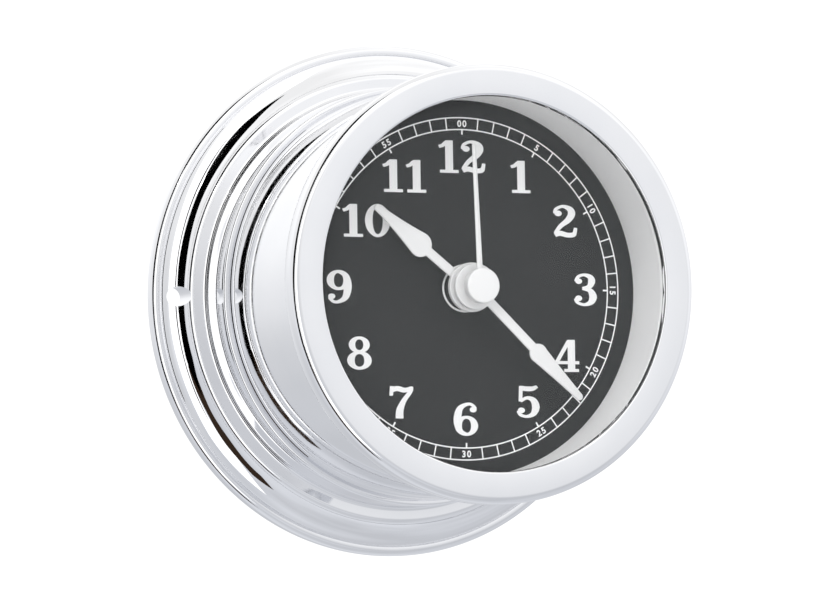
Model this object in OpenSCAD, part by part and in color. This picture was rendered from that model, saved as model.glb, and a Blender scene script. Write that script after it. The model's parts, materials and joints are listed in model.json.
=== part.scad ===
/* [Case] */
// Radius of the mounting flange
flange_r = 58; // [56:0.5:62]
// Outer radius of the drum
drum_r = 45.6; // [45.2:0.1:45.7]
// Inner radius of the drum
bore_r = 43.3; // [43.2:0.1:43.5]
// Height of the drum's front shoulder above the wall
shoulder_z = 55; // [54:0.5:57]
// Radius of the circle that the wall screws stand on
screw_circle_r = 52.5; // [52:0.1:53]
// Radius of a wall screw hole
screw_hole_r = 2.2; // [1.8:0.1:2.4]

/* [Bezel and glass] */
// Outer radius of the bezel
bezel_r = 47.5; // [47:0.1:49]
// Radius of the bezel's opening
opening_r = 40.5; // [39.5:0.1:41]
// Thickness of the glass
glass_t = 1.8; // [1.5:0.1:2]
// Radius of the bright wall between glass and dial
inner_wall_r = 41.3; // [41:0.1:42]

/* [Dial and hands] */
// Dial angle of the hour hand, clockwise from 12
hour_angle = 308.4; // [0:0.1:360]
// Dial angle of the minute hand, clockwise from 12
minute_angle = 134; // [0:0.1:360]
// Dial angle of the second hand, clockwise from 12
second_angle = 357.9; // [0:0.1:360]
// Length of the hour hand from the centre
hour_len = 28.2; // [22:0.2:30]
// Length of the minute hand from the centre
minute_len = 35.1; // [30:0.1:36]
// Length of the second hand from the centre
second_len = 30.9; // [26:0.1:35]
// Radius of the second hand's cap
cap_r = 3.85; // [3:0.05:4.2]

/* [Movement] */
// Side of the square movement
movement_w = 56; // [55.6:0.1:56.2]
// Thickness of the movement
movement_t = 16; // [16:0.1:16.4]
// Radius of the battery
battery_r = 7.25; // [7:0.05:7.25]
// Length of the battery's can
battery_len = 49.2; // [48.5:0.1:49.4]
// Thickness of a brass wheel
wheel_t = 0.6; // [0.4:0.1:0.7]

/* [Hidden] */
$fn = 96;

eps = 0.01;
run_gap = 0.05;
seat_gap = 0.1;
pivot_r = 0.4;
dial_z = 42.3;

// stack of the case, as heights above the wall
rim_top_z = 3;
ridge_z = 7.5;
step_z = 18.5;
step_r = 47;
dial_t = 0.8;
dial_back_z = dial_z - dial_t;
ledge_t = 3;
ledge_r = 40;
glass_z = shoulder_z + 1;
gasket_t = 0.4;
lip_z = glass_z + glass_t + gasket_t;
front_z = lip_z + 1.5;
spigot_r = bore_r + 1.2;
spigot_top_z = glass_z + glass_t - 0.4;
glass_r = bore_r - 0.2;

// rear cover and its screws
cover_z = 22;
cover_t = 2.4;
lug_circle_r = 36;
lug_r = 3.5;
lug_angles = [0, 90, 180, 270];

// movement box
half_w = movement_w / 2;
box_wall = 1.2;
box_floor = 1;
box_back_z = dial_back_z - movement_t;
box_split_z = 34;
box_front_z = dial_back_z;
inside_back_z = box_back_z + box_floor;
inside_front_z = box_front_z - box_wall;
battery_y = -19.5;
battery_z = box_back_z + battery_r + 0.1;
bay_top_y = -11.6;
bay_half_w = half_w - box_wall;

// gear train: modules, teeth and places
fast_m = 0.25;
second_m = 0.28;
third_m = 0.30;
centre_m = 8.5 / 30;
motion_m = 0.3125;
hour_m = 0.30;
second_distance = second_m * (15 + 60) / 2;
rotor_distance = fast_m * (8 + 60) / 2;
third_distance = third_m * (8 + 60) / 2;
transfer_distance = motion_m * (12 + 36) / 2;
knob_distance = motion_m * (36 + 24) / 2;
train_dir = 20;
third_dir = 170;
transfer_dir = 90;
intermediate_at = second_distance * [cos(train_dir), sin(train_dir)];
rotor_at = intermediate_at + rotor_distance * [cos(train_dir), sin(train_dir)];
third_at = third_distance * [cos(third_dir), sin(third_dir)];
transfer_at = [0, transfer_distance];
knob_at = [0, transfer_distance + knob_distance];
pivot_back_z = inside_back_z - 0.4;
bridge_z = box_split_z;
bridge_t = 0.8;
rotor_pinion_z = 27.3;
intermediate_z = 27.6;
intermediate_pinion_z = 28.7;
seconds_z = 29;
seconds_pinion_z = 30.2;
third_z = 30.5;
third_pinion_z = 31.7;
centre_z = 32.4;
cannon_z = 35;
motion_z = 35.3;
transfer_pinion_z = 36.3;
hour_z = 37.2;
arbor_r = 0.5;
minute_tube_r = 1.5;
hour_tube_r = 2.6;
bridge_posts = [[-20.5, -8.5], [-20.5, 10.6], [12, -8.7], [9, 15]];
coil_x = 23.9;
coil_y = [-4, 20];
stator_z = 30;
board_z = 28;

// hands, as heights above the wall
hour_hand_z = dial_z + 1.7;
minute_hand_z = dial_z + 5.3;
second_hand_z = dial_z + 8.2;
cap_top_z = dial_z + 10.4;
blade_t = 0.4;
hour_hub_t = 2.7;
hour_neck_t = 1.5;
minute_hub_t = 1.2;

// turns the drawing of the dial, seen from the front, upright against the wall
module upright()
{
    rotate([90, 0, 0])
        children();
}

module ring(outer, inner, low, high)
{
    translate([0, 0, low])
        difference()
        {
            cylinder(r = outer, h = high - low);
            translate([0, 0, -1])
                cylinder(r = inner, h = high - low + 2);
        }
}

module post(at, r, low, high)
{
    translate([at[0], at[1], low])
        cylinder(r = r, h = high - low);
}

module block(x, y, z)
{
    translate([x[0], y[0], z[0]])
        cube([x[1] - x[0], y[1] - y[0], z[1] - z[0]]);
}

// a rectangle of a turned profile: from radius r0 to r1, from height z0 to z1
module band(r0, r1, z0, z1)
{
    translate([r0, z0])
        square([r1 - r0, z1 - z0]);
}

module dot(r, at)
{
    translate(at)
        circle(r = r, $fn = 64);
}

// involute gear outline; tip and root are in modules, face is the tooth's share of the pitch
function involute(a) = tan(a) * 180 / PI - a;
function flank_angle(r, pitch, base, half) =
    half + involute(20) - involute(acos(min(1, base / max(r, base))));
function tooth(n, m, tip, root, face) =
    let (pitch = n * m / 2,
        base = pitch * cos(20),
        half = 180 / n * face,
        low = pitch - root * m,
        high = pitch + tip * m,
        radii = [low, max(low + eps, base), pitch, high])
    [for (r = radii) [r, flank_angle(r, pitch, base, half)]];
function gear_points(n, m, tip, root, face) =
    let (flank = tooth(n, m, tip, root, face))
    [for (k = [0 : n - 1], side = [-1, 1], i = [0 : 3])
        let (at = side < 0 ? flank[i] : flank[3 - i], a = k * 360 / n + side * at[1])
        at[0] * [cos(a), sin(a)]];

// a gear whose first tooth points along direction dir
module gear(n, m, dir, low, high, tip, root = 1.25, face = 0.46)
{
    translate([0, 0, low])
        rotate([0, 0, dir])
            linear_extrude(height = high - low)
                polygon(gear_points(n, m, tip, root, face));
}

// direction of the first tooth of a gear that meets a tooth coming from direction dir
function meeting(dir, n) = dir + 180 + 180 / n;

module wheel_windows(r, low)
{
    for (k = [0 : 3])
        rotate([0, 0, 45 + 90 * k])
            translate([r * 0.56, 0, low - 1])
                cylinder(r = r * 0.24, h = 3);
}

// ---------- case ----------

module flange_profile()
{
    seat_r = drum_r + seat_gap;
    edge_r = 1.5;
    slope_foot_r = flange_r - 2.2;
    slope_top = [50.9, 6.6];
    ridge_r = 49.6;
    ridge_round = 1.4;
    collar_round = 0.6;
    scotia_r = 7;
    scotia_at = [57.08, 9.88];
    fillet_r = 1;
    difference()
    {
        union()
        {
            band(seat_r, flange_r - edge_r, 0, rim_top_z);
            band(seat_r, flange_r, 0, rim_top_z - edge_r);
            dot(edge_r, [flange_r - edge_r, rim_top_z - edge_r]);
            polygon([[seat_r, 1], [slope_foot_r, 1], [slope_foot_r, rim_top_z], slope_top,
                [seat_r, slope_top[1]]]);
            dot(ridge_round, [ridge_r, ridge_z - ridge_round]);
            band(seat_r, ridge_r, 1, ridge_z);
            band(seat_r, step_r + fillet_r, ridge_z - 1, ridge_z + fillet_r);
            band(seat_r, step_r, ridge_z, step_z - collar_round);
            band(seat_r, step_r - collar_round, ridge_z, step_z);
            dot(collar_round, [step_r - collar_round, step_z - collar_round]);
        }
        dot(scotia_r, scotia_at);
        dot(fillet_r, [step_r + fillet_r, ridge_z + fillet_r]);
    }
}

module mounting_flange()
{
    color("#d5d6d9")
        upright()
            difference()
            {
                rotate_extrude($fn = 180)
                    flange_profile();
                for (side = [-1, 1])
                    post([side * screw_circle_r, 0], screw_hole_r, -1, 12);
            }
}

module drum_profile()
{
    band(bore_r, drum_r, 0, shoulder_z);
    band(bore_r, spigot_r, shoulder_z - 1, spigot_top_z);
    band(ledge_r, bore_r + 1, dial_back_z - ledge_t, dial_back_z);
}

module drum()
{
    color("#d5d6d9")
        upright()
            difference()
            {
                union()
                {
                    rotate_extrude($fn = 180)
                        drum_profile();
                    for (a = lug_angles)
                        rotate([0, 0, a])
                        {
                            post([lug_circle_r, 0], lug_r, cover_z + cover_t, dial_back_z - 1);
                            block([lug_circle_r, bore_r + 0.5], [-2, 2],
                                [cover_z + cover_t, dial_back_z - 1]);
                        }
                }
                for (a = lug_angles)
                    rotate([0, 0, a])
                        post([lug_circle_r, 0], 1.25, cover_z, cover_z + 12);
            }
}

module bezel_profile()
{
    edge_r = 1.7;
    lip_r = 0.7;
    difference()
    {
        union()
        {
            band(opening_r + lip_r, bezel_r - edge_r, lip_z, front_z);
            band(opening_r, bezel_r - edge_r, lip_z, front_z - lip_r);
            dot(lip_r, [opening_r + lip_r, front_z - lip_r]);
            band(bore_r + 0.1, bezel_r, shoulder_z, front_z - edge_r);
            band(bore_r + 0.1, bezel_r - edge_r, shoulder_z, front_z);
            dot(edge_r, [bezel_r - edge_r, front_z - edge_r]);
        }
        band(bore_r - 1, spigot_r + run_gap, shoulder_z - 1, spigot_top_z);
    }
}

module bezel_ring()
{
    color("#e4e5e8")
        upright()
            rotate_extrude($fn = 180)
                bezel_profile();
}

module glass_gasket()
{
    color("#1c1c1e")
        upright()
            ring(glass_r, opening_r + 0.9, glass_z + glass_t, lip_z);
}

module glass()
{
    color("#dfe8ea", 0.3)
        upright()
            post([0, 0], glass_r, glass_z, glass_z + glass_t);
}

module spacer_ring()
{
    color("#c9cbd0")
        upright()
            ring(glass_r, inner_wall_r, dial_z, glass_z);
}

module dial()
{
    hole_r = 4.8;
    color("#2c2c2e")
        upright()
        {
            ring(glass_r - 0.2, hole_r, dial_back_z, dial_z);
            ring(hole_r + 0.45, hole_r, dial_z - eps, dial_z + 0.14);
        }
}

module rear_cover()
{
    window_x = battery_len / 2 + 2.5;
    window_y = battery_r + 0.8;
    color("#38393c")
        upright()
            difference()
            {
                post([0, 0], bore_r - 0.4, cover_z, cover_z + cover_t);
                block([-window_x, window_x], [battery_y - window_y, battery_y + window_y],
                    [cover_z - 1, cover_z + cover_t + 1]);
                post(knob_at, 6, cover_z - 1, cover_z + cover_t + 1);
                for (a = lug_angles)
                    rotate([0, 0, a])
                        post([lug_circle_r, 0], 1.6, cover_z - 1, cover_z + cover_t + 1);
            }
}

module rear_cover_screws()
{
    color("#b9bbbf")
        upright()
            for (a = lug_angles)
                rotate([0, 0, a])
                    translate([lug_circle_r, 0, 0])
                        difference()
                        {
                            union()
                            {
                                post([0, 0], 2.6, cover_z - 1.6, cover_z);
                                post([0, 0], 1.25, cover_z - eps, cover_z + 9);
                            }
                            block([-3, 3], [-0.35, 0.35], [cover_z - 2, cover_z - 0.9]);
                        }
}

// ---------- movement housing ----------

module box_tube(low, high)
{
    difference()
    {
        block([-half_w, half_w], [-half_w, half_w], [low, high]);
        block([-bay_half_w, bay_half_w], [-bay_half_w, bay_half_w], [low - 1, high + 1]);
    }
    block([-half_w + eps, half_w - eps], [bay_top_y, bay_top_y + 1], [low, high]);
}

module pivot_boss(at)
{
    post(at, 1.3, inside_back_z - eps, inside_back_z + 0.4);
}

module pivot_hole(at)
{
    post(at, pivot_r + run_gap, pivot_back_z - 0.1, inside_back_z + 1);
}

movement_screw_at = [[25, 25], [-25, 25], [25, -9], [-25, -9]];

module movement_back_case()
{
    arbors = [[0, 0], intermediate_at, rotor_at, third_at];
    color("#2f3033")
        upright()
            difference()
            {
                union()
                {
                    box_tube(box_back_z, box_split_z);
                    block([-half_w + eps, half_w - eps], [bay_top_y, half_w - eps],
                        [box_back_z, inside_back_z]);
                    for (at = arbors)
                        pivot_boss(at);
                    for (at = movement_screw_at)
                        post(at, 2, box_back_z + eps, box_split_z);
                }
                for (at = arbors)
                    pivot_hole(at);
                for (at = movement_screw_at)
                    post(at, 0.9, box_back_z - 1, box_split_z + 1);
                post(knob_at, 1.2 + run_gap, box_back_z - 1, inside_back_z + 1);
            }
}

module movement_front_case()
{
    color("#2f3033")
        upright()
            difference()
            {
                union()
                {
                    box_tube(box_split_z, box_front_z);
                    block([-half_w + eps, half_w - eps], [-half_w + eps, half_w - eps],
                        [inside_front_z, box_front_z]);
                    post([0, 0], 4.2, inside_front_z, dial_z + 0.9);
                    post(knob_at, 1.6, 36.6, box_front_z - eps);
                    for (at = movement_screw_at)
                        post(at, 2, box_split_z, box_front_z - eps);
                }
                post([0, 0], hour_tube_r + run_gap, inside_front_z - 1, dial_z + 2);
                post(knob_at, 0.6 + run_gap, 36, 39);
                for (at = movement_screw_at)
                    post(at, 0.75, box_split_z - 1, box_split_z + 3.5);
            }
}

module movement_screws()
{
    color("#c2c4c8")
        upright()
            for (at = movement_screw_at)
                difference()
                {
                    union()
                    {
                        post(at, 1.5, box_back_z - 0.8, box_back_z);
                        post(at, 0.75, box_back_z - eps, box_split_z + 3);
                    }
                    block([at[0] - 2, at[0] + 2], [at[1] - 0.2, at[1] + 0.2],
                        [box_back_z - 1, box_back_z - 0.5]);
                }
}

module gear_bridge()
{
    color("#b8932f")
        upright()
            difference()
            {
                union()
                {
                    translate([0, 0, bridge_z])
                        linear_extrude(height = bridge_t)
                            polygon([[-22.5, -10], [14, -10], [21.2, 0], [21.2, 11],
                                [11, 17], [6.8, 17], [4.5, 12.4], [-22.5, 12.4]]);
                    for (at = bridge_posts)
                        post(at, 1.2, inside_back_z, bridge_z + eps);
                    post(transfer_at, 0.6, bridge_z + eps, hour_z + 1.3);
                    post(transfer_at, 1.1, bridge_z + eps, motion_z - run_gap);
                }
                post([0, 0], minute_tube_r + run_gap, bridge_z - 1, bridge_z + 2);
                for (at = [intermediate_at, rotor_at, third_at])
                    post(at, pivot_r + run_gap, bridge_z - 1, bridge_z + 2);
            }
}

// ---------- motor and electronics ----------

module stator_plate()
{
    color("#8c8f96")
        upright()
            difference()
            {
                union()
                {
                    block([14.2, 21], [-6, 22], [stator_z, stator_z + 1]);
                    block([14.2, coil_x + 1.5], [-6, coil_y[0] - 0.1], [stator_z, stator_z + 1]);
                    block([14.2, coil_x + 1.5], [coil_y[1] + 0.1, 22], [stator_z, stator_z + 1]);
                }
                post(rotor_at, 3.4, stator_z - 1, stator_z + 2);
                post([17.6, 14], 1.6, stator_z - 1, stator_z + 2);
            }
}

module along_y(x, z, y0, y1, r)
{
    translate([x, y1, z])
        rotate([90, 0, 0])
            cylinder(r = r, h = y1 - y0);
}

module coil_bobbin()
{
    z = stator_z + 0.5;
    color("#e8e4d8")
        upright()
        {
            along_y(coil_x, z, coil_y[0], coil_y[0] + 1, 2.6);
            along_y(coil_x, z, coil_y[1] - 1, coil_y[1], 2.6);
            along_y(coil_x, z, coil_y[0] + 0.5, coil_y[1] - 0.5, 1);
        }
}

module coil_winding()
{
    z = stator_z + 0.5;
    color("#b5622c")
        upright()
            difference()
            {
                along_y(coil_x, z, coil_y[0] + 1, coil_y[1] - 1, 2.4);
                along_y(coil_x, z, coil_y[0], coil_y[1], 1);
            }
}

module circuit_board()
{
    color("#2f6b3c")
        upright()
            difference()
            {
                block([-26, -6], [12.8, 22.5], [board_z, board_z + 0.8]);
                post([-23.6, 20.4], 1, board_z - 1, board_z + 2);
            }
}

module quartz_crystal()
{
    color("#c8cacc")
        upright()
            translate([-14, 20.2, board_z + 0.8 + 1.5])
                rotate([0, 90, 0])
                    cylinder(r = 1.5, h = 6);
}

module timing_chip()
{
    color("#151515")
        upright()
            post([-16, 16], 2.4, board_z + 0.8, board_z + 1.7);
}

module contact_plate(side)
{
    x = side * (bay_half_w - 0.2);
    block([x - 0.2, x + 0.2], [battery_y - 5, battery_y + 5], [box_back_z + 2, inside_front_z - 2]);
}

module contact_positive()
{
    color("#d0c48a")
        upright()
            contact_plate(1);
}

module contact_negative()
{
    bow_r = 6;
    x = -bay_half_w;
    bow_x = x + 0.95 - bow_r;
    color("#d0c48a")
        upright()
        {
            contact_plate(-1);
            intersection()
            {
                translate([bow_x, battery_y, battery_z - 2])
                    difference()
                    {
                        cylinder(r = bow_r, h = 4);
                        translate([0, 0, -1])
                            cylinder(r = bow_r - 0.3, h = 6);
                    }
                block([x + 0.35, x + 1], [battery_y - 6, battery_y + 6],
                    [battery_z - 3, battery_z + 3]);
            }
        }
}

module battery()
{
    left_x = -bay_half_w + 0.95;
    color("#c9772b")
        upright()
            translate([left_x, battery_y, battery_z])
                rotate([0, 90, 0])
                {
                    cylinder(r = battery_r, h = battery_len);
                    cylinder(r = 2.75, h = battery_len + 1.2);
                }
}

// ---------- going train ----------

module rotor()
{
    color("#6b6e75")
        upright()
        {
            post(rotor_at, 3, stator_z - 0.2, stator_z + 1.2);
            post(rotor_at, pivot_r, pivot_back_z, bridge_z + bridge_t);
            translate([rotor_at[0], rotor_at[1], 0])
                gear(8, fast_m, meeting(train_dir, 8), rotor_pinion_z, rotor_pinion_z + 1.2, 1);
        }
}

module intermediate_wheel()
{
    color("#d8b13c")
        upright()
            difference()
            {
                union()
                {
                    post(intermediate_at, pivot_r, pivot_back_z, bridge_z + bridge_t);
                    translate([intermediate_at[0], intermediate_at[1], 0])
                    {
                        gear(60, fast_m, train_dir, intermediate_z,
                            intermediate_z + wheel_t, 0.45);
                        gear(15, second_m, train_dir + 180 + 180 / 15, intermediate_pinion_z,
                            intermediate_pinion_z + 1.2, 0.9);
                        post([0, 0], 1, intermediate_z, intermediate_pinion_z + eps);
                    }
                }
                translate([intermediate_at[0], intermediate_at[1], 0])
                    wheel_windows(7, intermediate_z);
            }
}

module seconds_wheel()
{
    color("#d8b13c")
        upright()
        {
            difference()
            {
                gear(60, second_m, train_dir, seconds_z, seconds_z + wheel_t, 0.45);
                wheel_windows(8, seconds_z);
            }
            gear(8, third_m, meeting(third_dir + 180, 8), seconds_pinion_z,
                seconds_pinion_z + 1.4, 1);
            post([0, 0], 0.9, seconds_z, seconds_pinion_z + eps);
            post([0, 0], pivot_r, pivot_back_z, seconds_z + eps);
            post([0, 0], arbor_r, seconds_z, cap_top_z - 0.8);
        }
}

module third_wheel()
{
    color("#d8b13c")
        upright()
            translate([third_at[0], third_at[1], 0])
            {
                difference()
                {
                    gear(60, third_m, third_dir + 180, third_z, third_z + wheel_t, 0.45);
                    wheel_windows(8.6, third_z);
                }
                gear(8, centre_m, third_dir + 180 + 180 / 8, third_pinion_z,
                    third_pinion_z + 1.6, 1);
                post([0, 0], 0.9, third_z, third_pinion_z + eps);
                post([0, 0], pivot_r, pivot_back_z, bridge_z + bridge_t);
            }
}

module centre_wheel()
{
    color("#d8b13c")
        upright()
            difference()
            {
                gear(64, centre_m, third_dir, centre_z, centre_z + wheel_t, 0.45);
                wheel_windows(8.6, centre_z);
                post([0, 0], minute_tube_r + 0.03, centre_z - 1, centre_z + 2);
            }
}

module friction_spring()
{
    low = centre_z + wheel_t + run_gap;
    color("#a9adb4")
        upright()
            difference()
            {
                union()
                {
                    post([0, 0], 2.4, low, low + 0.3);
                    for (a = [30, 150, 270])
                        rotate([0, 0, a])
                            block([0, 4], [-0.6, 0.6], [low, low + 0.3]);
                }
                post([0, 0], minute_tube_r, low - 1, low + 1);
            }
}

// ---------- motion work ----------

module minute_arbor()
{
    color("#caa544")
        upright()
            difference()
            {
                union()
                {
                    post([0, 0], minute_tube_r, centre_z - 0.6, minute_hand_z + minute_hub_t);
                    post([0, 0], 2.6, centre_z - 0.6, centre_z - run_gap);
                    gear(12, motion_m, transfer_dir, cannon_z, cannon_z + 1.2, 0.9);
                }
                post([0, 0], arbor_r + run_gap, centre_z - 2, minute_hand_z + 3);
            }
}

module transfer_wheel()
{
    color("#d8b13c")
        upright()
            translate([transfer_at[0], transfer_at[1], 0])
                difference()
                {
                    union()
                    {
                        gear(36, motion_m, meeting(transfer_dir, 36), motion_z,
                            motion_z + wheel_t, 0.6);
                        gear(10, hour_m, -transfer_dir, motion_z + wheel_t - eps,
                            transfer_pinion_z + 1.9, 0.9);
                    }
                    post([0, 0], 0.6 + run_gap, motion_z - 1, hour_z + 3);
                }
}

module hour_wheel()
{
    color("#d8b13c")
        upright()
            difference()
            {
                union()
                {
                    gear(40, hour_m, transfer_dir + 180 / 40, hour_z, hour_z + wheel_t, 0.6);
                    post([0, 0], hour_tube_r, hour_z, hour_hand_z + hour_hub_t);
                }
                post([0, 0], minute_tube_r + run_gap, hour_z - 1, hour_hand_z + hour_hub_t + 1);
                wheel_windows(5.6, hour_z);
            }
}

module setting_knob()
{
    knob_back_z = cover_z - 1.2;
    color("#e9e9e6")
        upright()
            translate([knob_at[0], knob_at[1], 0])
            {
                gear(24, 0.36, 0, knob_back_z, box_back_z - 0.4, 0.4, 0.6);
                post([0, 0], 1.2, knob_back_z + eps, motion_z + 1.1);
                post([0, 0], 0.6, motion_z, 38.6);
                gear(24, motion_m, -transfer_dir, motion_z, motion_z + 0.8, 0.6);
            }
}

// ---------- hands ----------

// outline of a hand along +Y: stem, round shoulders, long taper and small round tip
module leaf_hand(len, stem_w, leaf_r, leaf_at, tip_r)
{
    translate([-stem_w / 2, 0])
        square([stem_w, leaf_at]);
    dot(leaf_r, [0, leaf_at]);
    polygon([[-leaf_r, leaf_at], [leaf_r, leaf_at], [tip_r, len - tip_r],
        [-tip_r, len - tip_r]]);
    dot(tip_r, [0, len - tip_r]);
}

module hour_hand()
{
    color("#f2f2f0")
        upright()
            difference()
            {
                union()
                {
                    post([0, 0], 3.6, hour_hand_z, hour_hand_z + hour_neck_t + eps);
                    post([0, 0], 5.4, hour_hand_z + hour_neck_t, hour_hand_z + hour_hub_t);
                    rotate([0, 0, -hour_angle])
                        translate([0, 0, hour_hand_z + 0.9])
                            linear_extrude(height = blade_t)
                                leaf_hand(hour_len, 2.1, 2.7, 14.8, 0.8);
                }
                post([0, 0], hour_tube_r, hour_hand_z - 1, hour_hand_z + hour_hub_t + 1);
            }
}

module minute_hand()
{
    color("#f2f2f0")
        upright()
            difference()
            {
                union()
                {
                    post([0, 0], 5, minute_hand_z, minute_hand_z + minute_hub_t);
                    rotate([0, 0, -minute_angle])
                        translate([0, 0, minute_hand_z + 0.4])
                            linear_extrude(height = blade_t)
                                leaf_hand(minute_len, 2.1, 2.1, 20.7, 0.8);
                }
                post([0, 0], minute_tube_r, minute_hand_z - 1, minute_hand_z + 2);
            }
}

module cap_profile()
{
    edge_r = 0.5;
    band(0, cap_r, second_hand_z, cap_top_z - edge_r);
    band(0, cap_r - edge_r, second_hand_z, cap_top_z);
    dot(edge_r, [cap_r - edge_r, cap_top_z - edge_r]);
    band(0, 1.4, second_hand_z - 0.8, second_hand_z + eps);
}

module second_hand()
{
    root_w = 1.3;
    tip_w = 0.85;
    color("#f5f5f3")
        upright()
            difference()
            {
                union()
                {
                    rotate_extrude()
                        cap_profile();
                    rotate([0, 0, -second_angle])
                        translate([0, 0, second_hand_z + 0.3])
                            linear_extrude(height = 0.5)
                                polygon([[-root_w / 2, 1], [root_w / 2, 1],
                                    [tip_w / 2, second_len], [-tip_w / 2, second_len]]);
                }
                post([0, 0], arbor_r, second_hand_z - 1, cap_top_z - 0.8);
            }
}

mounting_flange();
drum();
bezel_ring();
glass_gasket();
glass();
spacer_ring();
dial();
rear_cover();
rear_cover_screws();
movement_back_case();
movement_front_case();
movement_screws();
gear_bridge();
stator_plate();
coil_bobbin();
coil_winding();
circuit_board();
quartz_crystal();
timing_chip();
contact_positive();
contact_negative();
battery();
rotor();
intermediate_wheel();
seconds_wheel();
third_wheel();
centre_wheel();
friction_spring();
minute_arbor();
transfer_wheel();
hour_wheel();
setting_knob();
hour_hand();
minute_hand();
second_hand();
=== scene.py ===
"""Ships deck clock: looks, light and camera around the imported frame. Metres, +Z up, dial towards -Y."""

import json
import math

import bmesh
import bpy
from mathutils import Matrix, Vector


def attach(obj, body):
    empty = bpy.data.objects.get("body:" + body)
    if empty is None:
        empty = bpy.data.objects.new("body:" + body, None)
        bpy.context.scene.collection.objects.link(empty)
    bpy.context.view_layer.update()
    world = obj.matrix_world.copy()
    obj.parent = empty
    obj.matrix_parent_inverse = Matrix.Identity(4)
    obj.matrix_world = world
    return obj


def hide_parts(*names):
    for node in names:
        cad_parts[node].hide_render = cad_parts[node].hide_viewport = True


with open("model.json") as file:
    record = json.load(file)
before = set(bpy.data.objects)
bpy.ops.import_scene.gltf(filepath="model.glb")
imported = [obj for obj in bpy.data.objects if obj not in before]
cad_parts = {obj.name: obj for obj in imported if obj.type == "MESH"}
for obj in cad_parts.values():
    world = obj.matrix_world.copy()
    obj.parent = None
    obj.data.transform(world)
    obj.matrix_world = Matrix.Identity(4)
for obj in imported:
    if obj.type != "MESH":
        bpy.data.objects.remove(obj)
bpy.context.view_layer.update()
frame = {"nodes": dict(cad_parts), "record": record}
MM = 0.001
TURN = 2 * math.pi


# ---------- sizes, in millimetres as in the design ----------
FLANGE_R = 58.0
DRUM_R = 45.6
BORE_R = 43.3
SHOULDER_Z = 55.0
BEZEL_R = 47.5
OPENING_R = 40.5
SCREW_CIRCLE_R = 52.5
SCREW_HOLE_R = 2.2
INNER_WALL_R = 41.3
LUG_CIRCLE_R = 36.0
COVER_FRONT_Z = 24.4
DIAL_Z = 42.3
DIAL_BACK_Z = DIAL_Z - 0.8
GLASS_Z = 56.0
GLASS_TOP_Z = 57.8
LIP_Z = 58.2
FRONT_Z = 59.7
HOUR_ANGLE = 308.4
MINUTE_ANGLE = 134.0
SECOND_ANGLE = 357.9
PRINT_T = 0.03
TRACK_OUTER_R = 37.45
TRACK_INNER_R = 34.85
NUMERAL_H = 7.05
NUMERAL_STRETCH = 1.38
# each numeral's distance from the centre and its dial angle
NUMERAL_PLACES = {
    1: (28.5, 29.3), 2: (29.0, 58.4), 3: (29.5, 89.8), 4: (28.6, 120.4), 5: (28.9, 148.5), 6: (28.6, 180),
    7: (29.3, 211.8), 8: (28.9, 240.3), 9: (29.7, 270), 10: (27.3, 302), 11: (28.1, 330.2), 12: (28.9, 359.6),
}


# ---------- mesh helpers ----------
def wall_point(x, y, z):
    """A point drawn on the dial (x right, y up, z out of the wall), in the frame's metres."""
    return Vector((x * MM, -z * MM, y * MM))


def piece_from(name, verts, faces, material, body, replaces=(), smooth=None):
    mesh = bpy.data.meshes.new(name)
    mesh.from_pydata([wall_point(*v) for v in verts], [], faces)
    obj = bpy.data.objects.new(name, mesh)
    bpy.context.collection.objects.link(obj)
    bm = bmesh.new()
    bm.from_mesh(mesh)
    bmesh.ops.recalc_face_normals(bm, faces=bm.faces)
    bm.to_mesh(mesh)
    bm.free()
    mesh.materials.append(material)
    if smooth:
        shade_smooth(obj, smooth)
    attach(obj, body)
    if replaces:
        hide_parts(*replaces)
    return obj


def shade_smooth(obj, degrees):
    mesh = obj.data
    mesh.shade_smooth()
    limit = math.radians(degrees)
    bm = bmesh.new()
    bm.from_mesh(mesh)
    for edge in bm.edges:
        if len(edge.link_faces) == 2 and edge.calc_face_angle() > limit:
            edge.smooth = False
    bm.to_mesh(mesh)
    bm.free()


def arc(centre, r, start, end, steps=12):
    """Points of an arc in the (radius, height) plane, angles in degrees."""
    out = []
    for i in range(steps + 1):
        a = math.radians(start + (end - start) * i / steps)
        out.append((centre[0] + r * math.cos(a), centre[1] + r * math.sin(a)))
    return out


def lathe(name, outline, material, body, replaces=(), segments=360, smooth=25):
    """Turns a closed (radius, height) outline about the hands' axis."""
    n = len(outline)
    verts = []
    for k in range(segments):
        a = TURN * k / segments
        verts += [(r * math.cos(a), r * math.sin(a), z) for r, z in outline]
    faces = []
    for k in range(segments):
        m = (k + 1) % segments
        for i in range(n):
            j = (i + 1) % n
            faces.append((k * n + i, k * n + j, m * n + j, m * n + i))
    return piece_from(name, verts, faces, material, body, replaces, smooth)


def disc_lathe(name, outline, material, body, replaces=(), segments=240, smooth=25):
    """Turns an open outline whose first and last points lie on the axis."""
    inner = outline[1:-1]
    n = len(inner)
    verts = [(0, 0, outline[0][1]), (0, 0, outline[-1][1])]
    for k in range(segments):
        a = TURN * k / segments
        verts += [(r * math.cos(a), r * math.sin(a), z) for r, z in inner]
    faces = []
    for k in range(segments):
        m = (k + 1) % segments
        here = 2 + k * n
        there = 2 + m * n
        faces.append((0, there, here))
        faces.append((1, here + n - 1, there + n - 1))
        for i in range(n - 1):
            faces.append((here + i, there + i, there + i + 1, here + i + 1))
    return piece_from(name, verts, faces, material, body, replaces, smooth)


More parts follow.
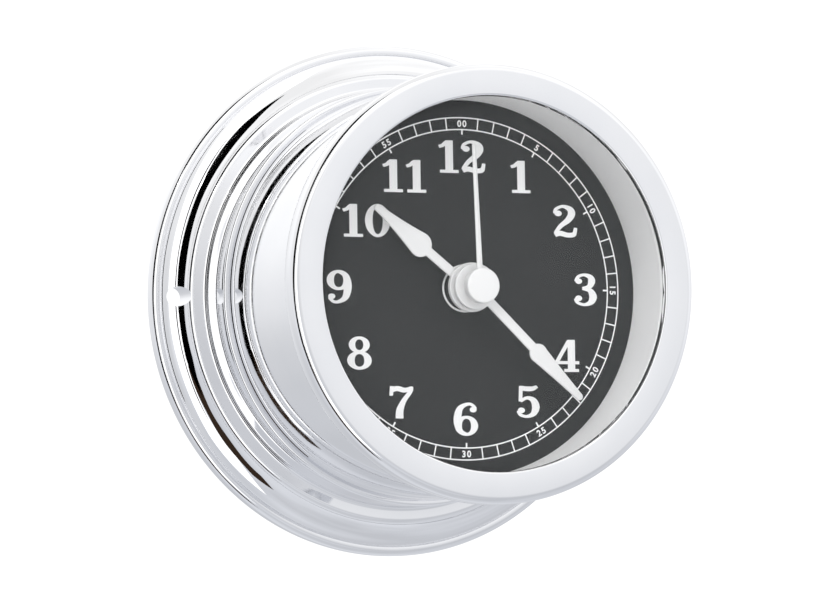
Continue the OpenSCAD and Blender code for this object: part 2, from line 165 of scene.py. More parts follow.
def drill(obj, centres, r, low, high, segments=96):
    """Cuts round holes through a piece, along the wall's normal."""
    bm = bmesh.new()
    for x, y in centres:
        turned = Matrix.Rotation(math.radians(90), 4, "X")
        place = Matrix.Translation(wall_point(x, y, (low + high) / 2)) @ turned
        bmesh.ops.create_cone(
            bm,
            cap_ends=True,
            segments=segments,
            radius1=r * MM,
            radius2=r * MM,
            depth=(high - low) * MM,
            matrix=place,
        )
    mesh = bpy.data.meshes.new("drill")
    bm.to_mesh(mesh)
    bm.free()
    tool = bpy.data.objects.new("drill", mesh)
    bpy.context.collection.objects.link(tool)
    cut = obj.modifiers.new("holes", "BOOLEAN")
    cut.operation = "DIFFERENCE"
    cut.solver = "EXACT"
    cut.object = tool
    bpy.context.view_layer.update()
    graph = bpy.context.evaluated_depsgraph_get()
    cut_mesh = bpy.data.meshes.new_from_object(obj.evaluated_get(graph))
    obj.modifiers.clear()
    obj.data = cut_mesh
    bpy.data.objects.remove(tool)
    shade_smooth(obj, 25)


# ---------- materials ----------
def new_material(name):
    mat = bpy.data.materials.new(name)
    mat.use_nodes = True
    nodes = mat.node_tree.nodes
    return mat, nodes, mat.node_tree.links, nodes["Principled BSDF"]


def noise(nodes, links, scale):
    """A noise texture laid over a piece in its own coordinates."""
    coords = nodes.new("ShaderNodeTexCoord")
    texture = nodes.new("ShaderNodeTexNoise")
    texture.inputs["Scale"].default_value = scale
    texture.inputs["Detail"].default_value = 4.0
    links.new(coords.outputs["Object"], texture.inputs["Vector"])
    return texture


def ramp(nodes, links, source, low, high):
    """Maps a texture's grey value to a range of numbers."""
    out = nodes.new("ShaderNodeMapRange")
    out.inputs["From Min"].default_value = 0.35
    out.inputs["From Max"].default_value = 0.65
    out.inputs["To Min"].default_value = low
    out.inputs["To Max"].default_value = high
    links.new(source.outputs["Fac"], out.inputs["Value"])
    return out.outputs["Result"]


def tint(nodes, links, source, dark, light):
    """Maps a texture's grey value to colours between two tones."""
    out = nodes.new("ShaderNodeValToRGB")
    out.color_ramp.elements[0].position = 0.3
    out.color_ramp.elements[0].color = (*dark, 1)
    out.color_ramp.elements[1].position = 0.7
    out.color_ramp.elements[1].color = (*light, 1)
    links.new(source.outputs["Fac"], out.inputs["Fac"])
    return out.outputs["Color"]


def bump(nodes, links, shader, source, depth):
    out = nodes.new("ShaderNodeBump")
    out.inputs["Strength"].default_value = 1.0
    out.inputs["Distance"].default_value = depth
    links.new(source.outputs["Fac"], out.inputs["Height"])
    links.new(out.outputs["Normal"], shader.inputs["Normal"])


def surface(name, dark, light, rough, metallic=0.0, grain=900, depth=0.0, coat=0.0):
    """A procedural surface: two close tones, a roughness range and a fine bump."""
    mat, nodes, links, shader = new_material(name)
    shader.inputs["Metallic"].default_value = metallic
    fine = noise(nodes, links, grain)
    broad = noise(nodes, links, 60)
    links.new(tint(nodes, links, broad, dark, light), shader.inputs["Base Color"])
    links.new(ramp(nodes, links, fine, rough[0], rough[1]), shader.inputs["Roughness"])
    if coat:
        shader.inputs["Coat Weight"].default_value = coat
    if depth:
        bump(nodes, links, shader, fine, depth)
    return mat


def glass_material():
    mat, nodes, links, shader = new_material("clear_glass")
    smudge = noise(nodes, links, 45)
    shader.inputs["Base Color"].default_value = (0.9, 0.95, 0.95, 1)
    links.new(ramp(nodes, links, smudge, 0.0, 0.04), shader.inputs["Roughness"])
    shader.inputs["Alpha"].default_value = 0.02
    return mat


CHROME = surface("polished_chrome", (0.89, 0.895, 0.91), (0.93, 0.93, 0.94), (0.02, 0.05), 1.0, 500)
SATIN = surface("satin_nickel", (0.93, 0.93, 0.935), (0.96, 0.96, 0.96), (0.3, 0.4), 0.0, 900)
DIAL = surface("black_dial", (0.012, 0.012, 0.0132), (0.015, 0.015, 0.0164), (0.5, 0.6), 0.0, 900, 2e-6)
DIAL.node_tree.nodes["Principled BSDF"].inputs["Specular IOR Level"].default_value = 0.12
PRINT = surface("white_print", (0.88, 0.88, 0.885), (0.91, 0.91, 0.91), (0.5, 0.6), 0.0, 3000)
HANDS = surface("hand_lacquer", (0.74, 0.74, 0.742), (0.78, 0.78, 0.78), (0.28, 0.36), 0.0, 2500, coat=0.2)
GLASS = glass_material()
SLOT_LOOKS = {
    "black_rubber": surface("black_rubber", (0.015, 0.015, 0.016), (0.025, 0.025, 0.027), (0.7, 0.85)),
    "black_plastic": surface(
        "black_plastic", (0.018, 0.018, 0.02), (0.03, 0.03, 0.032), (0.45, 0.6), 0.0, 4000, 8e-6
    ),
    "zinc_steel": surface("zinc_steel", (0.55, 0.56, 0.57), (0.68, 0.68, 0.7), (0.22, 0.34), 1.0, 1500),
    "bridge_brass": surface("bridge_brass", (0.62, 0.44, 0.17), (0.72, 0.54, 0.24), (0.25, 0.38), 1.0, 1200),
    "stator_steel": surface("stator_steel", (0.4, 0.41, 0.43), (0.52, 0.53, 0.55), (0.3, 0.45), 1.0, 1500),
    "bobbin_plastic": surface("bobbin_plastic", (0.74, 0.71, 0.6), (0.82, 0.79, 0.7), (0.4, 0.5)),
    "copper_wire": surface("copper_wire", (0.5, 0.19, 0.07), (0.68, 0.3, 0.12), (0.25, 0.4), 1.0, 6000, 2e-5),
    "green_board": surface("green_board", (0.03, 0.15, 0.06), (0.05, 0.22, 0.09), (0.25, 0.35)),
    "crystal_can": surface("crystal_can", (0.62, 0.62, 0.64), (0.74, 0.74, 0.76), (0.18, 0.28), 1.0),
    "chip_resin": surface("chip_resin", (0.01, 0.01, 0.011), (0.02, 0.02, 0.021), (0.4, 0.55)),
    "contact_strip": surface("contact_strip", (0.7, 0.66, 0.46), (0.82, 0.78, 0.6), (0.2, 0.32), 1.0),
    "battery_wrap": surface("battery_wrap", (0.42, 0.13, 0.03), (0.55, 0.2, 0.05), (0.2, 0.3), 0.3),
    "magnet": surface("magnet", (0.2, 0.21, 0.22), (0.3, 0.31, 0.33), (0.4, 0.5), 1.0),
    "wheel_brass": surface("wheel_brass", (0.68, 0.5, 0.18), (0.78, 0.6, 0.26), (0.2, 0.32), 1.0),
    "arbor_brass": surface("arbor_brass", (0.64, 0.47, 0.17), (0.74, 0.56, 0.24), (0.18, 0.28), 1.0),
    "spring_steel": surface("spring_steel", (0.46, 0.47, 0.5), (0.58, 0.59, 0.62), (0.22, 0.32), 1.0),
    "white_plastic": surface("white_plastic", (0.72, 0.72, 0.7), (0.8, 0.8, 0.78), (0.35, 0.45)),
    "satin_nickel": SATIN,
    "chrome_case": CHROME,
    "clear_glass": GLASS,
    "black_dial": DIAL,
    "hand_white": HANDS,
}


# ---------- case, bezel, glass ----------
def flange_outline():
    """Rim, hollow moulding, ridge and collar, from the wall to the collar's front."""
    edge = 0.35
    rim_r = 1.5
    rim_top = 3.0
    hollow_at = (57.08, 9.88)
    hollow_r = 7.0
    ridge_at = (49.6, 6.1)
    ridge_r = 1.4
    fillet_at = (48.0, 8.5)
    fillet_r = 1.0
    step_r = 47.0
    step_z = 18.5
    step_round = 0.6
    points = [(DRUM_R, 0.0), (FLANGE_R - 0.2, 0.0), (FLANGE_R, 0.2)]
    points += arc((FLANGE_R - rim_r, rim_top - rim_r), rim_r, 0, 90)
    points += arc((56.05, 2.75), 0.25, 90, 190, 6)
    points += arc(hollow_at, hollow_r, 257, 209, 24)
    points += arc(ridge_at, ridge_r, 12, 90, 14)
    points += arc(fillet_at, fillet_r, 270, 180, 10)
    points += arc((step_r - step_round, step_z - step_round), step_round, 0, 90, 10)
    points += [(DRUM_R + edge, step_z), (DRUM_R, step_z - edge)]
    return points


def drum_outline():
    edge = 0.35
    ledge_r = 40.0
    ledge_back_z = DIAL_BACK_Z - 3.0
    spigot_r = BORE_R + 1.2
    spigot_top = GLASS_TOP_Z - 0.4
    points = [(BORE_R + edge, 0.0), (DRUM_R, 0.0), (DRUM_R, SHOULDER_Z - 0.1), (DRUM_R - 0.1, SHOULDER_Z)]
    points += [(spigot_r, SHOULDER_Z), (spigot_r, spigot_top), (BORE_R, spigot_top)]
    points += [(BORE_R, DIAL_BACK_Z), (ledge_r, DIAL_BACK_Z)]
    points += [(ledge_r, ledge_back_z), (BORE_R, ledge_back_z)]
    points += [(BORE_R, edge)]
    return points


def make_case():
    flange = lathe("flange", flange_outline(), CHROME, "clock_case", ["mounting_flange"], 480)
    drill(flange, [(-SCREW_CIRCLE_R, 0), (SCREW_CIRCLE_R, 0)], SCREW_HOLE_R, -2, 12)
    lathe("drum_shell", drum_outline(), CHROME, "clock_case", ["drum"], 480)
    for k in range(4):
        make_lug(k)


def make_lug(k):
    """A post inside the drum, joined to its wall by a web, that takes a screw of the rear cover."""
    lug_r = 3.5
    web = 2.0
    mouth = math.degrees(math.asin(web / lug_r))
    wall_r = BORE_R + 0.3
    outline = arc((LUG_CIRCLE_R, 0.0), lug_r, mouth, 360 - mouth, 28) + [(wall_r, -web), (wall_r, web)]
    spin = Matrix.Rotation(TURN * k / 4, 3, "Z")
    n = len(outline)
    verts = []
    for z in (COVER_FRONT_Z, DIAL_BACK_Z - 1.0):
        for x, y in outline:
            v = spin @ Vector((x, y, 0))
            verts.append((v.x, v.y, z))
    faces = [tuple(range(n)), tuple(range(2 * n - 1, n - 1, -1))]
    faces += [(i, (i + 1) % n, n + (i + 1) % n, n + i) for i in range(n)]
    piece_from(f"drum_lug_{k}", verts, faces, CHROME, "clock_case", (), 20)


def bezel_outline():
    edge_r = 1.7
    lip_r = 0.55
    spigot_r = BORE_R + 1.25
    points = [(spigot_r, SHOULDER_Z + 0.02), (BEZEL_R - 0.2, SHOULDER_Z + 0.02)]
    points += arc((BEZEL_R - 0.2, SHOULDER_Z + 0.22), 0.2, 270, 360, 4)
    points += arc((BEZEL_R - edge_r, FRONT_Z - edge_r), edge_r, 0, 90, 18)
    points += arc((OPENING_R + lip_r, FRONT_Z - lip_r), lip_r, 90, 180, 10)
    points += [(OPENING_R, LIP_Z), (BORE_R + 0.1, LIP_Z), (BORE_R + 0.1, GLASS_TOP_Z - 0.35)]
    points += [(spigot_r, GLASS_TOP_Z - 0.35)]
    return points


def make_bezel_and_glass():
    lathe("bezel", bezel_outline(), CHROME, "clock_case", ["bezel_ring"], 480)
    gasket = [(OPENING_R + 0.9, GLASS_TOP_Z), (BORE_R - 0.2, GLASS_TOP_Z)]
    gasket += [(BORE_R - 0.2, LIP_Z), (OPENING_R + 0.9, LIP_Z)]
    lathe("gasket", gasket, SLOT_LOOKS["black_rubber"], "clock_case", ["glass_gasket"])
    bevel = 0.15
    pane_r = BORE_R - 0.2
    pane = [(0, GLASS_Z), (pane_r - bevel, GLASS_Z), (pane_r, GLASS_Z + bevel)]
    pane += [(pane_r, GLASS_TOP_Z - bevel), (pane_r - bevel, GLASS_TOP_Z), (0, GLASS_TOP_Z)]
    disc_lathe("glass_pane", pane, GLASS, "clock_case", ["glass"])
    wall = [(INNER_WALL_R, DIAL_Z), (BORE_R - 0.2, DIAL_Z), (BORE_R - 0.2, GLASS_Z)]
    wall += [(INNER_WALL_R + 0.3, GLASS_Z), (INNER_WALL_R, GLASS_Z - 0.3)]
    lathe("inner_wall", wall, SATIN, "clock_case", ["spacer_ring"])


def make_dial():
    hole_r = 4.8
    dial_r = BORE_R - 0.4
    edge = 0.12
    face = [(hole_r, DIAL_BACK_Z), (dial_r, DIAL_BACK_Z), (dial_r, DIAL_Z), (hole_r + edge, DIAL_Z)]
    face += [(hole_r, DIAL_Z - edge)]
    lathe("dial_plate", face, DIAL, "clock_case", ["dial"], 240)
    rim = [(hole_r, DIAL_Z - 0.4), (hole_r + 0.45, DIAL_Z + 0.01), (hole_r + 0.38, DIAL_Z + 0.14)]
    rim += [(hole_r + 0.08, DIAL_Z + 0.14), (hole_r, DIAL_Z + 0.06)]
    lathe("dial_hole_rim", rim, SATIN, "clock_case", (), 160)


# ---------- print on the dial ----------
class Print:
    """Collects flat raised shapes that become one printed piece."""

    def __init__(self):
        self.verts = []
        self.faces = []
        self.layers = 0

    def strip(self, left, right, closed=False):
        """A ribbon between two lines of points, as a closed thin solid.

        Each ribbon's face is a little higher or lower than the last, so that no two share a plane.
        """
        n = len(left)
        base = len(self.verts)
        self.layers = (self.layers + 1) % 8
        top_z = DIAL_Z + PRINT_T + 0.003 * self.layers
        for z in (DIAL_Z - 0.01, top_z):
            self.verts += [(x, y, z) for x, y in left]
            self.verts += [(x, y, z) for x, y in right]

        def at(top, side, i):
            return base + top * 2 * n + side * n + i % n

        count = n if closed else n - 1
        for i in range(count):
            j = i + 1
            self.faces.append((at(1, 0, i), at(1, 0, j), at(1, 1, j), at(1, 1, i)))
            self.faces.append((at(0, 0, i), at(0, 1, i), at(0, 1, j), at(0, 0, j)))
            self.faces.append((at(0, 0, i), at(0, 0, j), at(1, 0, j), at(1, 0, i)))
            self.faces.append((at(0, 1, i), at(1, 1, i), at(1, 1, j), at(0, 1, j)))
        if not closed:
            for i in (0, n - 1):
                self.faces.append((at(0, 0, i), at(1, 0, i), at(1, 1, i), at(0, 1, i)))

    def ring(self, outer, inner, segments=360):
        spots = [TURN * k / segments for k in range(segments)]
        self.strip(
            [(outer * math.cos(a), outer * math.sin(a)) for a in spots],
            [(inner * math.cos(a), inner * math.sin(a)) for a in spots],
            True,
        )

    def bar(self, angle, r0, r1, width):
        """A radial tick at a dial angle in degrees, clockwise from 12."""
        a = math.radians(angle)
        out = (math.sin(a), math.cos(a))
        side = (math.cos(a) * width / 2, -math.sin(a) * width / 2)
        self.strip(
            [(out[0] * r - side[0], out[1] * r - side[1]) for r in (r0, r1)],
            [(out[0] * r + side[0], out[1] * r + side[1]) for r in (r0, r1)],
        )

    def stroke(self, points, place, closed=False):
        """A pen stroke of changing width through (x, y, width) points; place maps it to the dial."""
        line = smooth_line([(x, y, pen(w)) for x, y, w in points], closed)
        left = []
        right = []
        n = len(line)
        for i in range(n):
            before = line[(i - 1) % n] if closed else line[max(i - 1, 0)]
            after = line[(i + 1) % n] if closed else line[min(i + 1, n - 1)]
            dx = after[0] - before[0]
            dy = after[1] - before[1]
            size = math.hypot(dx, dy) or 1.0
            x, y, w = line[i]
            left.append(place(x - dy / size * w / 2, y + dx / size * w / 2))
            right.append(place(x + dy / size * w / 2, y - dx / size * w / 2))
        self.strip(left, right, closed)

    def ball(self, x, y, r, place, segments=28):
        half = [math.pi * k / segments for k in range(1, segments)]
        self.strip(
            [place(x + r * math.cos(a), y + r * math.sin(a)) for a in half],
            [place(x + r * math.cos(a), y - r * math.sin(a)) for a in half],
        )

    def piece(self, name, material, body):
        return piece_from(name, self.verts, self.faces, material, body)


def pen(width):
    """Evens out a stroke's width: hairlines firmer, stems lighter before the numeral is widened."""
    return 0.092 + (width - 0.06) * 0.7


def smooth_line(points, closed, steps=8):
    """Catmull-Rom curve through control points; two points stay a straight line."""
    n = len(points)
    if n == 2:
        return points
    out = []
    spans = n if closed else n - 1
    for i in range(spans):
        p = [points[(i + k) % n] if closed else points[min(max(i + k, 0), n - 1)] for k in (-1, 0, 1, 2)]
        for s in range(steps):
            t = s / steps
            out.append(tuple(catmull(p[0][c], p[1][c], p[2][c], p[3][c], t) for c in range(3)))
    if not closed:
        out.append(points[-1])
    return out


def catmull(a, b, c, d, t):
    return b + 0.5 * t * (c - a + t * (2 * a - 5 * b + 4 * c - d + t * (3 * (b - c) + d - a)))


def loop(cx, cy, rx, ry, side, top, points=16):
    """A closed oval stroke, side wide at its flanks and top wide at its top and bottom."""
    out = []
    for k in range(points):
        a = TURN * k / points
        out.append((cx + rx * math.cos(a), cy + ry * math.sin(a), top + (side - top) * math.cos(a) ** 2))
    return out


# Slab numerals drawn in a box 1 high: open strokes, closed strokes and balls
SIX = {
    "open": [
        [(0.545, 0.83, 0.05), (0.45, 0.955, 0.05), (0.33, 0.965, 0.07), (0.17, 0.85, 0.14),
         (0.105, 0.62, 0.19), (0.1, 0.36, 0.19), (0.16, 0.14, 0.13), (0.31, 0.035, 0.06)],
    ],
    "closed": [loop(0.315, 0.3, 0.2, 0.265, 0.175, 0.06)],
    "balls": [(0.485, 0.8, 0.085)],
    "width": 0.62,
}
DIGITS = {
    "0": {"open": [], "closed": [loop(0.31, 0.5, 0.215, 0.465, 0.19, 0.06)], "balls": [], "width": 0.62},
    "1": {
        "open": [
            [(0.29, 0.05, 0.2), (0.29, 0.995, 0.2)],
            [(0.06, 0.032, 0.065), (0.52, 0.032, 0.065)],
            [(0.04, 0.80, 0.07), (0.13, 0.835, 0.075), (0.22, 0.93, 0.1)],
        ],
        "closed": [],
        "balls": [],
        "width": 0.54,
    },
    "2": {
        "open": [
            [(0.055, 0.74, 0.05), (0.09, 0.88, 0.055), (0.26, 0.968, 0.065), (0.44, 0.88, 0.16),
             (0.475, 0.72, 0.19), (0.38, 0.53, 0.16), (0.2, 0.35, 0.1), (0.07, 0.14, 0.06)],
            [
                (0.05, 0.07, 0.14), (0.18, 0.12, 0.15), (0.36, 0.07, 0.14), (0.5, 0.08, 0.14),
                (0.55, 0.14, 0.08),
            ],
            [(0.545, 0.1, 0.07), (0.575, 0.3, 0.05)],
        ],
        "closed": [],
        "balls": [(0.14, 0.745, 0.09)],
        "width": 0.62,
    },
    "3": {
        "open": [
            [(0.055, 0.76, 0.05), (0.12, 0.91, 0.055), (0.27, 0.968, 0.06), (0.42, 0.9, 0.14),
             (0.455, 0.76, 0.18), (0.39, 0.6, 0.12), (0.22, 0.54, 0.06)],
            [(0.22, 0.54, 0.06), (0.41, 0.48, 0.13), (0.485, 0.29, 0.2), (0.43, 0.11, 0.15),
             (0.27, 0.032, 0.06), (0.1, 0.09, 0.055), (0.04, 0.22, 0.05)],
        ],
        "closed": [],
        "balls": [(0.13, 0.765, 0.085), (0.12, 0.23, 0.088)],
        "width": 0.6,
    },
    "4": {
        "open": [
            [(0.37, 0.97, 0.07), (0.06, 0.3, 0.07)],
            [(0.02, 0.275, 0.07), (0.62, 0.275, 0.07)],
            [(0.425, 0.05, 0.19), (0.425, 0.99, 0.19)],
            [(0.24, 0.032, 0.065), (0.61, 0.032, 0.065)],
        ],
        "closed": [],
        "balls": [],
        "width": 0.63,
    },
    "5": {
        "open": [
            [(0.115, 0.98, 0.06), (0.1, 0.5, 0.06)],
            [(0.1, 0.92, 0.13), (0.24, 0.895, 0.14), (0.4, 0.9, 0.13), (0.52, 0.97, 0.05)],
            [(0.1, 0.5, 0.05), (0.26, 0.61, 0.07), (0.42, 0.54, 0.15), (0.48, 0.33, 0.2),
             (0.42, 0.12, 0.14), (0.26, 0.032, 0.06), (0.1, 0.08, 0.055), (0.04, 0.21, 0.05)],
        ],
        "closed": [],
        "balls": [(0.12, 0.22, 0.088)],
        "width": 0.6,
    },
    "6": SIX,
    "7": {
        "open": [
            [(0.06, 0.7, 0.05), (0.085, 0.99, 0.07)],
            [(0.09, 0.88, 0.13), (0.22, 0.92, 0.15), (0.38, 0.87, 0.14), (0.53, 0.91, 0.1)],
            [
                (0.555, 0.985, 0.05), (0.53, 0.83, 0.08), (0.37, 0.55, 0.11), (0.27, 0.26, 0.18),
                (0.26, 0.0, 0.2),
            ],
        ],
        "closed": [],
        "balls": [],
        "width": 0.6,
    },
    "8": {
        "open": [],
        "closed": [loop(0.31, 0.755, 0.175, 0.21, 0.15, 0.06), loop(0.31, 0.275, 0.205, 0.24, 0.185, 0.06)],
        "balls": [],
        "width": 0.62,
    },
}


def draw_digit(sheet, digit, x0, y0, height):
    """Draws one numeral with its lower left corner at (x0, y0)."""
    turned = digit == "9"
    shape = DIGITS["6" if turned else digit]
    width = shape["width"]

    def place(x, y):
        if turned:
            x, y = width - x, 1 - y
        return (x0 + x * height * NUMERAL_STRETCH, y0 + y * height)

    for points in shape["open"]:
        sheet.stroke(points, place)
    for points in shape["closed"]:
        sheet.stroke(points, place, True)
    for x, y, r in shape["balls"]:
        sheet.ball(x, y, r, place)


def make_numerals():
    sheet = Print()
    gap = 0.03  # between two digits, as a share of their height
    wide = NUMERAL_H * NUMERAL_STRETCH
    for hour, (radius, angle) in NUMERAL_PLACES.items():
        a = math.radians(angle)
        text = str(hour)
        widths = [DIGITS["6" if d == "9" else d]["width"] for d in text]
        total = (sum(widths) + gap * (len(text) - 1)) * wide
        x = radius * math.sin(a) - total / 2
        y = radius * math.cos(a) - NUMERAL_H / 2
        for digit, width in zip(text, widths):
            draw_digit(sheet, digit, x, y, NUMERAL_H)
            x += (width + gap) * wide
    sheet.piece("hour_numerals", PRINT, "clock_case")


def make_track():
    sheet = Print()
    line = 0.28
    sheet.ring(TRACK_OUTER_R + line / 2, TRACK_OUTER_R - line / 2)
    sheet.ring(TRACK_INNER_R + line / 2, TRACK_INNER_R - line / 2)
    for minute in range(60):
        if minute % 5:
            sheet.bar(minute * 6, TRACK_INNER_R, TRACK_OUTER_R, line)
        else:
            sheet.bar(minute * 6, TRACK_INNER_R - 1.1, TRACK_INNER_R, line * 1.3)
    sheet.piece("minute_track", PRINT, "clock_case")


def make_minute_numbers():
    """Every fifth minute's number, upright in the upper half and turned over in the lower."""
    font_size = 1.42 * 1.37
    middle_r = (TRACK_OUTER_R + TRACK_INNER_R) / 2
    for minute in range(0, 60, 5):
        angle = minute * 6
        upside = 100 < angle < 260
        curve = bpy.data.curves.new(f"minute_number_{minute:02d}", "FONT")
        curve.body = "00" if minute == 0 else str(minute)
        curve.size = font_size * MM
        curve.align_x = "CENTER"
        curve.align_y = "CENTER"
        curve.extrude = PRINT_T / 2 * MM
        curve.offset = 0.055 * MM
        curve.space_character = 1.28
        curve.materials.append(PRINT)
        obj = bpy.data.objects.new(curve.name, curve)
        bpy.context.collection.objects.link(obj)
        a = math.radians(angle)
        spot = wall_point(middle_r * math.sin(a), middle_r * math.cos(a), DIAL_Z + PRINT_T / 2)
        turn = -a + (math.pi if upside else 0)
        upright = Matrix.Rotation(math.radians(90), 4, "X")
        bpy.context.view_layer.update()
        graph = bpy.context.evaluated_depsgraph_get()
        mesh = bpy.data.meshes.new_from_object(obj.evaluated_get(graph))
        bpy.data.objects.remove(obj)
        xs = [v.co.x for v in mesh.vertices]
        ys = [v.co.y for v in mesh.vertices]
        middle = Vector(((min(xs) + max(xs)) / 2, (min(ys) + max(ys)) / 2, 0))
        placed = Matrix.Translation(spot) @ upright @ Matrix.Rotation(turn, 4, "Z")
        mesh.transform(placed @ Matrix.Translation(-middle))
        flat = bpy.data.objects.new(f"minute_number_{minute:02d}", mesh)
        bpy.context.collection.objects.link(flat)
        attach(flat, "clock_case")


# ---------- hands ----------
def hand_outline(length, stem_w, leaf_r, leaf_at, tip_r, hollow):
    """Outline along +y: stem, round shoulders, long taper and small round tip."""
    root = 2.0
    shoulder = math.degrees(math.asin(stem_w / 2 / leaf_r))
    right = [(stem_w / 2, root)]
    right += arc((0, leaf_at), leaf_r, -90 + shoulder, 18, 18)
    start = right[-1]
    end = (tip_r, length - tip_r)
    bend = (start[0] * 0.42 + end[0] * 0.58 - hollow, start[1] * 0.42 + end[1] * 0.58)
    for i in range(1, 10):
        t = i / 10
        parts = ((1 - t) ** 2, 2 * t * (1 - t), t * t)
        right.append(tuple(parts[0] * start[k] + parts[1] * bend[k] + parts[2] * end[k] for k in (0, 1)))
    right += arc((0, length - tip_r), tip_r, 0, 90, 8)
    left = [(-x, y) for x, y in reversed(right[:-1])]
    return right + left


def plate(name, outline, angle, low, high, body):
    """A flat plate with a bevelled front edge, turned to a dial angle."""
    bevel = 0.1
    spin = Matrix.Rotation(math.radians(-angle), 3, "Z")
    n = len(outline)
    inner = inset(outline, bevel)
    rows = [(outline, low), (outline, high - bevel), (inner, high)]
    verts = []
    for points, z in rows:
        for x, y in points:
            v = spin @ Vector((x, y, 0))
            verts.append((v.x, v.y, z))
    faces = [tuple(range(n - 1, -1, -1)), tuple(range(2 * n, 3 * n))]
    for row in range(2):
        for i in range(n):
            j = (i + 1) % n
            faces.append((row * n + i, row * n + j, row * n + n + j, row * n + n + i))
    return piece_from(name, verts, faces, HANDS, body, (), 20)


def inset(points, d):
    """The outline moved inwards by d."""
    out = []
    n = len(points)
    for i in range(n):
        a, b, c = Vector(points[i - 1]), Vector(points[i]), Vector(points[(i + 1) % n])
        normal = Vector((0.0, 0.0))
        for p, q in ((a, b), (b, c)):
            edge = q - p
            if edge.length > 1e-6:
                normal += Vector((-edge.y, edge.x)).normalized()
        spot = b + normal.normalized() * d
        out.append((spot.x, spot.y))
    return out


def hub(name, outer, inner, low, high, body, replaces=()):
    """A disc with a hole and a rounded front edge."""
    edge = 0.15
    outline = [(inner, low), (outer - edge, low), (outer, low + edge)]
    outline += arc((outer - edge * 1.6, high - edge * 1.6), edge * 1.6, 0, 90, 6)
    outline += [(inner + edge, high), (inner, high - edge)]
    return lathe(name, outline, HANDS, body, replaces, 160)


def make_hands():
    hour_z = DIAL_Z + 1.7
    minute_z = DIAL_Z + 5.3
    neck_top = hour_z + 1.5
    hour_blade = hour_z + 0.9
    minute_blade = minute_z + 0.4
    hour_tube_r = 2.6
    minute_tube_r = 1.5
    blade_t = 0.42
    stem_w = 2.1
    tip_r = 0.8
    hub("hour_hand_hub", 5.4, hour_tube_r, neck_top, hour_z + 2.7, "hour_body", ["hour_hand"])
    hub("hour_hand_neck", 3.6, hour_tube_r, hour_z, neck_top, "hour_body")
    hour_outline = hand_outline(28.2, stem_w, 2.7, 14.8, tip_r, 0.42)
    plate("hour_hand_blade", hour_outline, HOUR_ANGLE, hour_blade, hour_blade + blade_t, "hour_body")
    hub("minute_hand_hub", 5.0, minute_tube_r, minute_z, minute_z + 1.2, "minute_body", ["minute_hand"])
    minute_outline = hand_outline(35.1, stem_w, 2.1, 20.7, tip_r, 0.14)
    minute_top = minute_blade + blade_t
    plate("minute_hand_blade", minute_outline, MINUTE_ANGLE, minute_blade, minute_top, "minute_body")
    make_second_hand()


def make_second_hand():
    """The cap over the hands' axis and the thin hand with a ridge along its middle."""
    second_z = DIAL_Z + 8.2
    cap_top = DIAL_Z + 10.4
    cap_r = 3.85
    edge = 0.45
    cap = [(0, second_z - 0.8), (1.4, second_z - 0.8), (1.4, second_z), (cap_r - 0.15, second_z)]
    cap += [(cap_r, second_z + 0.15)]
    cap += arc((cap_r - edge, cap_top - edge), edge, 0, 90, 8)
    cap += [(0, cap_top)]
    disc_lathe("second_hand_cap", cap, HANDS, "seconds_body", ["second_hand"], 160)
    root_w = 1.3
    tip_w = 0.85
    length = 30.9
    low = second_z + 0.3
    side_top = low + 0.22
    ridge_top = side_top + 0.28
    spin = Matrix.Rotation(math.radians(-SECOND_ANGLE), 3, "Z")
    section = []
    for y, w in ((1.0, root_w), (length - 0.3, tip_w), (length, tip_w * 0.6)):
        section += [(-w / 2, y, low), (-w / 2, y, side_top), (0, y, ridge_top)]
        section += [(w / 2, y, side_top), (w / 2, y, low)]
    verts = []
    for x, y, z in section:
        v = spin @ Vector((x, y, 0))
        verts.append((v.x, v.y, z))
    faces = [(0, 1, 2, 3, 4), (14, 13, 12, 11, 10)]
    for row in range(2):
        for i in range(5):
            j = (i + 1) % 5
            faces.append((row * 5 + i, row * 5 + j, row * 5 + 5 + j, row * 5 + 5 + i))
    piece_from("second_hand_blade", verts, faces, HANDS, "seconds_body")


def dress_cad_nodes():
    """Gives each CAD node that stays visible its material."""
    slot_of = {s["node"]: s["material_slot"] for s in frame["record"]["subparts"]}
    for node, obj in frame["nodes"].items():
        obj.data.materials.clear()
        obj.data.materials.append(SLOT_LOOKS[slot_of[node]])


# ---------- stage, light and camera ----------
def stage_plane(name, centre, normal, width, height, colour):
    """A flat matt surface of the studio."""
    bpy.ops.mesh.primitive_plane_add(size=1)
    obj = bpy.context.object
    obj.name = name
    obj.scale = (width, height, 1)
    obj.location = centre
    obj.rotation_mode = "QUATERNION"
    obj.rotation_quaternion = Vector(normal).to_track_quat("Z", "Y")
    mat, _, _, shader = new_material(name)
    shader.inputs["Base Color"].default_value = (*colour, 1)
    shader.inputs["Roughness"].default_value = 0.9
    shader.inputs["Specular IOR Level"].default_value = 0.0
    obj.data.materials.append(mat)
    return obj


def area_light(name, at, to, size, power):
    data = bpy.data.lights.new(name, "AREA")
    data.shape = "SQUARE"
    data.size = size
    data.energy = power
    obj = bpy.data.objects.new(name, data)
    obj.location = at
    obj.rotation_mode = "QUATERNION"
    obj.rotation_quaternion = (Vector(at) - Vector(to)).to_track_quat("Z", "Y")
    bpy.context.collection.objects.link(obj)
    return obj


